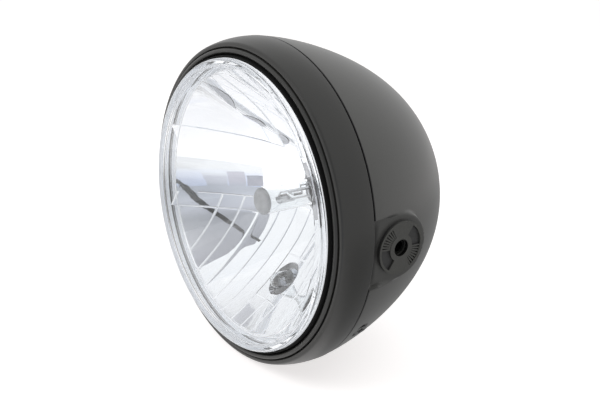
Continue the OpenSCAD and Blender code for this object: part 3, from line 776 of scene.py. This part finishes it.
def side_facets():
    """The row of short facets at each side, and the plain field over it."""
    parts = []
    row_top = LOWER_Z + ROW_H
    row_limit = math.sqrt(skin_r ** 2 - LOWER_Z ** 2)
    for side in (-1, 1):
        for x0 in np.arange(CORE_X, STRIPS * STRIP, STRIP):
            x1 = min(x0 + STRIP, row_limit)
            a, b = sorted((side * x0, side * x1))
            parts.append(facet(level(a), level(b), level(LOWER_Z), level(row_top),
                               ridges="b" if x0 < (STRIPS - 1) * STRIP else ""))
        a, b = sorted((side * CORE_X, side * row_limit))
        parts.append(facet(level(a), level(b), level(row_top), upper_edge, count=16, ridges="t"))
        t = np.linspace(0, 1, 24)[None, :]
        s = np.linspace(0, 1, 6)[:, None]
        top = float(upper_edge(np.array(row_limit)))
        z = LOWER_Z + (top - LOWER_Z) * t
        x = side * (row_limit + (np.sqrt(skin_r ** 2 - z ** 2) - row_limit) * s)
        parts.append((to_world(x, z + 0 * x, dish(x, z)), grid_faces(6, 24)))
    return parts


# %% [markdown]
# Above, the outer field on each side ends at a curved line. Along it lies a slim bevel, widest
# halfway and gone at both ends, with shorter bevels below. A bevel leans away from the mirror
# round it and its aluminium is duller, so each one shows as a grey sliver.

# %% Upper facets and the bevels between them
BEVEL_W = 5.0
BEVEL_RISE = 0.5
CURVE_T = np.array([0.0, 0.23, 0.39, 0.60, 1.0])
CURVE_X = np.array([38.0, 39.0, 46.0, 49.0, 50.0])
SECOND_FOOT = 30.0
SECOND_LEAN = 7.0
FIELD_X = 75.0


def curve_x(t):
    """|x| of the curved line, from its foot at t = 0 to the mouth at t = 1."""
    return np.interp(t, CURVE_T, CURVE_X)


def second_x(t):
    """|x| of the next line in, which leans the same way."""
    return SECOND_FOOT + SECOND_LEAN * t


def bevel(side, line, start, end, width, power=1.0):
    """A sliver along a line from t = start to end: width * sin(pi * u) ^ power wide.

    It leaves the mirror's height at the line and stands BEVEL_RISE proud at its far edge."""
    u = np.linspace(0, 1, 60)[None, :]
    t = start + (end - start) * u
    s = np.linspace(0, 1, 5)[:, None]
    reach = line(t)
    z = upper_edge(reach) + (mouth(1)(reach) - upper_edge(reach)) * t
    x = reach - width * np.sin(math.pi * u) ** power * s
    height = dish(x, z) + 0.05 + BEVEL_RISE * np.sin(math.pi * u) * s
    return to_world(side * x, z + 0 * x, height), grid_faces(5, 60)


def upper_facets():
    """The outer fields and the tall facets inside the curved lines, on both sides."""
    parts = []
    limit = math.sqrt(skin_r ** 2 - float(upper_edge(np.array(FIELD_X))) ** 2)
    lines = [level(limit), curve_x, second_x, level(20), level(10), level(0)]
    for side in (-1, 1):
        for outer, inner in zip(lines[:-1], lines[1:]):
            a, b = (lambda t, o=outer: side * o(t)), (lambda t, i=inner: side * i(t))
            left, right = (a, b) if side < 0 else (b, a)
            plain = outer is lines[0]
            edge = "b" if plain else "lrb"
            parts.append(facet(left, right, upper_edge, mouth(1), 14 if plain else 9, edge))
    return parts


def joined(parts):
    """Several grids as one list of points and one of quads."""
    sizes = np.cumsum([0] + [len(p) for p, q in parts[:-1]])
    return (np.concatenate([p for p, q in parts]),
            np.concatenate([q + start for (p, q), start in zip(parts, sizes)]))


bevels = [bevel(side, line, *shape) for side in (-1, 1) for line, shape in (
    (curve_x, (0.46, 1.0, BEVEL_W)), (curve_x, (0.22, 0.40, BEVEL_W, 0.4)),
    (second_x, (0.03, 0.16, BEVEL_W, 0.4)))]
plates = [plate((0, 0), HOLE_R, (-CORE_X, LOWER_Z - PLATE_FOOT), (CORE_X, UPPER_Z)),
          plate((0, POSITION_Z), POSITION_R, (-PLATE, POSITION_Z - PLATE_H),
                (PLATE, POSITION_Z + PLATE_H))]
mirror_parts = lower_facets() + side_facets() + upper_facets() + plates
add_piece("mirror_skin", *joined(mirror_parts), mirror_coat, "reflector_mirror", sharp=60.0)
add_piece("mirror_bevels", *joined(bevels), dull_mirror, "reflector_mirror")

# %% [markdown]
# The moulding's front edge is rolled, which shows as a bright line all round the mirror.

# %% Rolled edge of the reflector
ROLL_R = 0.55
roll_centre = (skin_r + ROLL_R - 0.1, mouth_f + 0.1)
roll_section = arc_points(roll_centre, ROLL_R, 0, 360, 16)[:-1]
add_piece("mirror_roll", *turned(roll_section), mirror_coat, "reflector_mirror")

# %% [markdown]
# ## The bulb
# The envelope is one blown tube with a nearly flat tip. The tip is coated grey, so that no light
# leaves forward without meeting the mirror. The coat is a thin cap that hugs the glass.

# %% Bulb glass and its coated cap
BULB_WALL = 1.0
TIP_R = 2.5
CAP_T = 0.1
CAP_L = 1.6


def tip_profile(radius, tip, back):
    """A tube of that radius from `back` to a flat tip with a rounded edge, outside only."""
    corner = (radius - TIP_R, tip - TIP_R)
    return np.concatenate([[(radius, back)], arc_points(corner, TIP_R, 0, 90, 12), [(0, tip)]])


glass_out = tip_profile(bulb_r, bulb_tip, bulb_low[2])
glass_in = glass_out * [(bulb_r - BULB_WALL) / bulb_r, 1] - [0, BULB_WALL]
glass_in[0, 1] = bulb_low[2]
add_piece("bulb_shell", *turned(np.concatenate([glass_out, glass_in[::-1]]), 96),
          envelope_glass, "bulb_glass", ["bulb_glass"])
cap_out = tip_profile(bulb_r + CAP_T, bulb_tip + CAP_T, bulb_tip - CAP_L)
cap_in = tip_profile(bulb_r + CAP_T / 4, bulb_tip + CAP_T / 4, bulb_tip - CAP_L)
add_piece("bulb_cap", *turned(np.concatenate([cap_out, cap_in[::-1]]), 96), cap_coat,
          "bulb_metal")

# %% [markdown]
# ## The bowl
# Drawn from sheet as a deep, full bowl: (r / R)^n + (d / D)^m = 1. At each side it is pressed
# flat for the bracket, below the bowl's surface near the rim and proud of it further back. The
# press leaves a soft edge, so the flat is faded in over a couple of millimetres, and each screw
# sits in a dished spot. The grid is finer where the flats are.

# %% Bowl
BOWL_N = 2.87
BOWL_M = 1.38
BOWL_WALL = 1.2
PAD_HALF = 19.4
PAD_SOFT = 1.6
SCREW_ANGLE = 34.0
SCREW_D = 11.5
DIMPLE_R = 5.0
DIMPLE_FLOOR = 93.4
DIMPLE_SOFT = 1.0
CABLE_R = 10.0
SEAM_GAP = 0.8
EDGE_ROLL = 0.5
FLATS_END = 44


def smooth(low, high, value):
    """0 below low, 1 above high and an S-shaped rise in between."""
    t = np.clip((value - low) / (high - low), 0, 1)
    return t * t * (3 - 2 * t)


def bowl_surface(depth, angle, inset):
    """(x, z) on the pressed bowl at a depth behind the seam and an angle round the axis."""
    radius = (bowl_r - inset) * np.maximum(
        1 - (depth / (bowl_depth - inset)) ** BOWL_M, 0) ** (1 / BOWL_N)
    from_edge = np.clip((SEAM_GAP + EDGE_ROLL - depth) / EDGE_ROLL, 0, 1)
    radius = radius - (EDGE_ROLL - np.sqrt(EDGE_ROLL ** 2 * (1 - from_edge ** 2))) * (inset == 0)
    x, z = radius * np.cos(angle), radius * np.sin(angle)
    beyond = np.maximum(depth + mount_f, 0)
    outline = np.hypot(z, beyond) - PAD_HALF
    flat = 1 - smooth(-PAD_SOFT / 2, PAD_SOFT / 2, outline)
    flat = flat * (np.abs(x) > pad_x / 2)
    x = x + flat * (np.sign(x) * (pad_x - inset) - x)
    for side in (0, 1):
        a = math.radians(-SCREW_ANGLE if side == 0 else 180 + SCREW_ANGLE)
        along = x * math.cos(a) + z * math.sin(a)
        across = -x * math.sin(a) + z * math.cos(a)
        near = np.hypot(across, depth - SCREW_D)
        sink = 1 - smooth(DIMPLE_R - DIMPLE_SOFT / 2, DIMPLE_R + DIMPLE_SOFT / 2, near)
        drop = np.where(along > 0, sink * np.maximum(along - DIMPLE_FLOOR + inset, 0), 0)
        x, z = x - drop * math.cos(a), z - drop * math.sin(a)
    return x, z


def bowl_angles():
    """Angles round the bowl, fine across both flats and both screws."""
    fine = np.radians(np.linspace(-45, 16, 170, endpoint=False))
    coarse = np.radians(np.linspace(16, 90, 44, endpoint=False))
    right = np.concatenate([fine, coarse])
    left = math.pi - right[::-1]
    low = np.radians(np.linspace(225, 315, 54, endpoint=False))
    return np.unique(np.round(np.concatenate([right, left, low]) % (2 * math.pi), 6))


def bowl_depths(inset):
    """Depths from the seam to the cable hole, fine over the flats and coarser inside the sheet."""
    last = (bowl_depth - inset) * (1 - (CABLE_R / (bowl_r - inset)) ** BOWL_N) ** (1 / BOWL_M)
    roll = SEAM_GAP + EDGE_ROLL * (1 - np.cos(np.linspace(0, math.pi / 2, 6, endpoint=False)))
    rows = 30 if inset else 82
    fine = np.linspace(SEAM_GAP + EDGE_ROLL, FLATS_END, rows, endpoint=False)
    turn = np.linspace(0, 1, 20 if inset else 40)
    back = FLATS_END + (last - FLATS_END) * np.sin(turn * math.pi / 2)
    return np.concatenate([roll, fine, back])


def bowl_shell():
    """Outer skin from the seam to the cable hole, then the inner skin back to the seam."""
    angle = bowl_angles()[None, :]
    rows = []
    for inset, step in ((0.0, 1), (BOWL_WALL, -1)):
        depth = bowl_depths(inset)[::step, None]
        x, z = bowl_surface(depth, angle, inset)
        rows.append(np.stack([x, z, -depth + 0 * angle], -1))
    grid = np.concatenate(rows)
    points = to_world(grid[..., 0], grid[..., 1], grid[..., 2])
    return points, grid_faces(grid.shape[0], grid.shape[1], wrap_rows=True, wrap_columns=True)


bowl_skin = add_piece("bowl_skin", *bowl_shell(), bowl_paint, "bucket_paint", ["bucket"],
                      sharp=50.0)

# %% [markdown]
# The flats are pierced for the mounting bolts. The holes are cut with a cylinder each, as a
# drill would, because a round hole doesn't follow the bowl's own grid.

# %% Bolt holes
PAD_HOLE_R = 4.8


def pierce(piece, x0, x1):
    """Cuts a round hole along X through a piece, at the side mounts' place."""
    profile = np.array([(0, x0), (PAD_HOLE_R, x0), (PAD_HOLE_R, x1), (0, x1)])
    angle = np.linspace(0, 2 * math.pi, 48, endpoint=False)[None, :]
    r, x = profile[:, 0, None], profile[:, 1, None]
    points = to_world(x + 0 * angle, r * np.sin(angle), mount_f + r * np.cos(angle))
    drill = placed("drill", grid_mesh("drill", points, grid_faces(4, 48, wrap_columns=True),
                                      slivers_out=False))
    cut = piece.modifiers.new("bolt_hole", "BOOLEAN")
    cut.operation = "DIFFERENCE"
    cut.solver = "EXACT"
    cut.object = drill
    bpy.context.view_layer.update()
    deps = bpy.context.evaluated_depsgraph_get()
    result = bpy.data.meshes.new_from_object(piece.evaluated_get(deps))
    piece.modifiers.clear()
    old = piece.data
    piece.data = result
    bpy.data.meshes.remove(old)
    bpy.data.objects.remove(drill)


for side in (-1, 1):
    pierce(bowl_skin, side * (pad_x - 3 * BOWL_WALL), side * (pad_x + 2 * BOWL_WALL))
print("bowl faces after drilling:", len(bowl_skin.data.polygons))

# %% [markdown]
# ## Finishes for the construction pieces
# The small parts keep the construction model's own shape. Each gets the finish of its real
# counterpart, but the rim's lugs and hook are nearly black as painted shade for the gap behind
# the rim that they show through. The pieces with hard edges that show get a small live bevel,
# so that their edges catch light.

# %% Dress the construction pieces
FINISHES = {
    "lens_gasket": rubber, "reflector": mirror_coat, "retainer_clips": spring_steel,
    "side_disc_left": disc_paint, "side_disc_right": disc_paint,
    "weld_nut_left": dark_plate_and_gap_shade, "weld_nut_right": dark_plate_and_gap_shade, "rim_screws": screw_paint,
    # rim_lugs and rim_hook are nearly black as painted shade, for the seam gap they show through.
    "rim_lugs": dark_plate_and_gap_shade, "rim_screw_nuts": zinc, "rim_hook": dark_plate_and_gap_shade,
    "hook_catch": bowl_paint, "cable_grommet": rubber, "bulb_base": pressed_metal,
    "bulb_terminals": tin,
    "bulb_shield": pressed_metal, "bulb_filaments": tungsten, "filament_supports": pressed_metal,
    "bulb_clip": spring_steel, "bulb_boot": rubber, "position_bulb": envelope_glass,
    "position_filament": tungsten, "position_holder": holder_grey}

for name, material in FINISHES.items():
    mesh = nodes[name].data
    mesh.materials.clear()
    mesh.materials.append(material)
print("dressed:", len(FINISHES))

SOFT_EDGES = {"side_disc_left": 0.12, "side_disc_right": 0.12, "rim_screws": 0.25,
              "weld_nut_left": 0.2, "weld_nut_right": 0.2}
for name, width in SOFT_EDGES.items():
    soften = nodes[name].modifiers.new("soft_edges", "BEVEL")
    soften.width = width * MM
    soften.segments = 2
    soften.limit_method = "ANGLE"
    soften.angle_limit = math.radians(35)
print("softened:", len(SOFT_EDGES))

# %% [markdown]
# ## The studio
# A white world that the camera, the glass and the metal see as white, over a white floor that
# keeps the lamp's shadow. What lights the paint is kept lower than that, with one broad lamp
# above. The mirror needs something darker to show, as every mirror does, and further down the
# photographer's end of the room is made for it.

# %% World
WORLD_LIGHT = 0.5
world = bpy.data.worlds.new("studio_world")
bpy.context.scene.world = world
world.use_nodes = True
tree = world.node_tree
tree.nodes.clear()
out = tree.nodes.new("ShaderNodeOutputWorld")
path = tree.nodes.new("ShaderNodeLightPath")
white = tree.nodes.new("ShaderNodeBackground")
white.inputs["Strength"].default_value = 1.0
soft = tree.nodes.new("ShaderNodeBackground")
soft.inputs["Strength"].default_value = WORLD_LIGHT
two_rays = tree.nodes.new("ShaderNodeMath")
two_rays.operation = "MAXIMUM"
any_ray = tree.nodes.new("ShaderNodeMath")
any_ray.operation = "MAXIMUM"
pick = tree.nodes.new("ShaderNodeMixShader")
for socket, target in ((path.outputs["Is Camera Ray"], two_rays.inputs[0]),
                       (path.outputs["Is Glossy Ray"], two_rays.inputs[1]),
                       (two_rays.outputs[0], any_ray.inputs[0]),
                       (path.outputs["Is Transmission Ray"], any_ray.inputs[1]),
                       (any_ray.outputs[0], pick.inputs[0]),
                       (soft.outputs[0], pick.inputs[1]),
                       (white.outputs[0], pick.inputs[2]),
                       (pick.outputs[0], out.inputs["Surface"])):
    tree.links.new(socket, target)
for background in (white, soft):
    background.inputs["Color"].default_value = grey(1.0)

# %% Lamps


def softbox(name, direction, distance, size, watts):
    """A square area lamp at a distance from the headlight's middle, aimed at it.

    It lights the lamp, but neither reflections nor the glass show it."""
    data = bpy.data.lights.new(name, "AREA")
    data.shape = "RECTANGLE"
    data.size = data.size_y = size
    data.energy = watts
    lamp = placed(name, data)
    way = Vector(direction).normalized()
    lamp.matrix_world = (Matrix.Translation(way * distance)
                         @ way.to_track_quat("Z", "Y").to_matrix().to_4x4())
    lamp.visible_glossy = lamp.visible_transmission = False


softbox("key_box", (-0.1, -1.0, 0.75), distance=1.0, size=0.5, watts=5.0)
softbox("top_box", (0.3, 0.5, 1.0), distance=1.0, size=0.7, watts=3.0)

# %% [markdown]
# What stands in for the photographer's room is seen by the mirror and the glass only: a large
# screen and a small one, a slim dark arm, and on the floor a sweep, three panels, the arm's
# foot, and two painted shadows, the lamp's own deep one and a stand's. Each shines in a tone
# that changes with its height, or with the distance from a spot on the floor.

# %% Screens and the arm
FAR = 2.0
LOWEST = -0.2
ROOM_WAY = 1.6
SIDE_WAY = 1.2
ARM_WAY = 1.15
ARM_WIDTH = 1.5
ARM_STEPS = 40


def stage_card(name, points, faces, tone):
    """A shining piece of the stage that only reflections and glass see; tone(f) is its tone."""
    mesh = bpy.data.meshes.new(name)
    mesh.from_pydata(points, [], faces)
    f = Finish(name)
    mesh.materials.append(f.glow(tone(f)))
    card = placed(name, mesh)
    card.visible_camera = card.visible_diffuse = card.visible_shadow = False
    card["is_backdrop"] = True


def by_height(*stops):
    """A tone that changes with the height: stops of (metres, tone)."""
    def tone(f):
        height = f.coordinates()[2] - LOWEST
        return f.ramp(height * (1 / FAR), *[((z - LOWEST) / FAR, value) for z, value in stops])
    return tone


def black(f):
    """The arm's tone, nearly black."""
    return grey(0.01)


def facing(azimuth, elevation):
    """Unit direction at an azimuth from straight ahead of the lamp and an elevation, degrees."""
    a, e = math.radians(azimuth), math.radians(elevation)
    return Vector((math.sin(a) * math.cos(e), -math.cos(a) * math.cos(e), math.sin(e)))


def screen(name, outline, distance, tone):
    """A screen whose corners lie at (azimuth, elevation), that distance from the middle."""
    points = [tuple(facing(a, e) * distance) for a, e in outline]
    stage_card(name, points, [tuple(range(len(points)))], tone)


def boom(name, way, distance, width):
    """A slim dark arm along (azimuth, elevation) points, `width` degrees wide, thin at its ends."""
    way = np.array(way, float)
    t = np.linspace(0, len(way) - 1, ARM_STEPS)
    az, el = (np.interp(t, np.arange(len(way)), way[:, k]) for k in (0, 1))
    along = np.stack([np.gradient(az), np.gradient(el)], -1)
    across = np.stack([-along[:, 1], along[:, 0]], -1)
    across /= np.linalg.norm(across, axis=1)[:, None]
    half = (width / 2 * np.sin(math.pi * np.linspace(0.10, 0.76, ARM_STEPS)))[:, None]
    sides = [np.radians(np.stack([az, el], -1) + k * half * across) for k in (-1, 1)]
    points = [distance * np.stack([np.sin(p[:, 0]) * np.cos(p[:, 1]),
                                   -np.cos(p[:, 0]) * np.cos(p[:, 1]), np.sin(p[:, 1])], -1)
              for p in sides]
    stage_card(name, np.concatenate(points).tolist(), grid_faces(2, ARM_STEPS).tolist(), black)


ROOM = [(62, 3), (50, 3), (49, -11), (36, -12), (27, -13), (23, -5), (18, 9), (11, 22), (7, 32),
        (3, 41), (12, 44), (16, 48), (20, 53), (35, 56), (50, 44), (62, 25)]
SIDE = [(-56, 43.4), (-66.7, 36), (-72.7, 31.5), (-75.9, 29.7), (-61, 43.8)]
ARM = [(48.2, -14), (47.8, -8.7), (47.2, -4.8), (46.2, -1.0), (44.2, 5.3), (40.6, 12.7),
       (36.9, 17.8), (29.9, 25.3), (20.9, 31.8), (11.7, 36.0), (0.8, 38.6)]
screen("room_screen", ROOM, ROOM_WAY, by_height(
    (0.02, (0.476, 0.5, 0.561)), (0.14, (0.61, 0.634, 0.695)), (0.32, (0.61, 0.622, 0.683)),
    (0.46, (0.403, 0.415, 0.451)), (1.1, (0.305, 0.305, 0.342))))
screen("side_screen", SIDE, SIDE_WAY, by_height(
    (0.0, (0.36, 0.37, 0.42)), (1.8, (1.0, 1.0, 1.0))))
boom("lamp_boom", ARM, ARM_WAY, ARM_WIDTH)

# %% Cards on the floor
NEARBY = 0.5
LAMP_FOOT = (0.0, 0.0)
SHADOW_AT = (0.12, 0.10)
STAND_SHADOW_AT = (-0.25, -0.165)
FOOT_W = 0.013
floor_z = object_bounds()[0].z


def around(centre, reach, *stops):
    """A tone that changes with the distance from a spot: stops of (metres, tone), up to reach."""
    def tone(f):
        x, y = (way - place for way, place in zip(f.coordinates(), centre))
        away = (x * x + y * y).math("SQRT") * (1 / reach)
        return f.ramp(away, *[(metres / reach, value) for metres, value in stops])
    return tone


def floor_card(name, corners, tone, lift=1.0):
    """A card on the floor with corners (x, y), lifted by so many millimetres."""
    z = floor_z + lift * MM
    stage_card(name, [(x, y, z) for x, y in corners], [tuple(range(len(corners)))], tone)


SWEEP = [(0.054, -0.215), (0.70, -1.52), (1.6, -0.9), (0.16, -0.12)]
PANELS = {
    "left": ([(0.195, -0.272), (1.16, -1.19), (1.02, -1.28), (0.162, -0.273)],
             (0.33, (0.927, 0.952, 1)), (0.46, (0.61, 0.622, 0.695)),
             (1.3, (0.464, 0.488, 0.549))),
    "middle": ([(0.161, -0.273), (1.01, -1.28), (0.77, -1.23), (0.125, -0.269)],
               (0.32, (0.659, 0.647, 0.72)), (0.46, (0.549, 0.537, 0.61)),
               (1.3, (0.439, 0.464, 0.537))),
    "right": ([(0.168, -0.337), (0.74, -1.22), (0.45, -1.06), (0.109, -0.322)],
              (0.36, (0.354, 0.366, 0.427)), (0.6, (0.39, 0.39, 0.451)),
              (1.3, (0.403, 0.403, 0.464)))}
ARM_FOOT = [(0.84, -0.779), (0.524, -0.517), (0.359, -0.381), (0.289, -0.325), (0.217, -0.267),
            (0.151, -0.217)]
foot = [(x - s * FOOT_W / 2 * y, y + s * FOOT_W / 2 * x)
        for s in (-1, 1) for x, y in ARM_FOOT[::s]]

floor_card("sweep_card", SWEEP, around(
    LAMP_FOOT, FAR, (0.27, (1, 1, 1)), (0.36, (0.854, 0.891, 1)),
    (0.60, (0.683, 0.732, 0.878)), (1.5, (0.537, 0.598, 0.756))))
for which, (corners, *stops) in PANELS.items():
    floor_card("panel_" + which, corners, around(LAMP_FOOT, FAR, *stops), lift=2.0)
floor_card("arm_foot", foot, black, lift=3.0)
# Painted shadows on the floor that only reflections see: the lamp's own and a stand's.
floor_card("shadow_card", [(-0.35, -0.03), (0.6, -0.03), (0.6, 0.6), (-0.35, 0.6)],
           around(SHADOW_AT, NEARBY, (0.1, 0.55), (0.475, 0.7)))
floor_card("stand_shadow_card", [(-0.42, -0.34), (-0.08, -0.34), (-0.08, 0.0), (-0.42, 0.0)],
           around(STAND_SHADOW_AT, NEARBY, (0.05, 0.35), (0.12, 1.0)))

# %% Floor
FLOOR_SIZE = 6.0
half = FLOOR_SIZE / 2
floor_mesh = bpy.data.meshes.new("floor")
floor_mesh.from_pydata([(-half, -half, floor_z), (half, -half, floor_z),
                        (half, half, floor_z), (-half, half, floor_z)], [], [(0, 1, 2, 3)])
f = Finish("floor_white")
camera_ray, glossy_ray, through_ray = (f.node("ShaderNodeLightPath", out="Is %s Ray" % kind)
                                       for kind in ("Camera", "Glossy", "Transmission"))
seen = camera_ray.math("MAXIMUM", glossy_ray).math("MAXIMUM", through_ray)
matt = f.node("ShaderNodeBsdfDiffuse", {}, {"Color": (0.60, 0.60, 0.60, 1)})
shine = f.node("ShaderNodeEmission", {}, {"Color": (0.70, 0.68, 0.675, 1), "Strength": seen})
both = f.node("ShaderNodeAddShader", {}, {0: matt, 1: shine})
floor_mesh.materials.append(f.close(both))
floor = placed("floor", floor_mesh)
floor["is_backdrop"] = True
print("floor at", round(floor_z, 4))
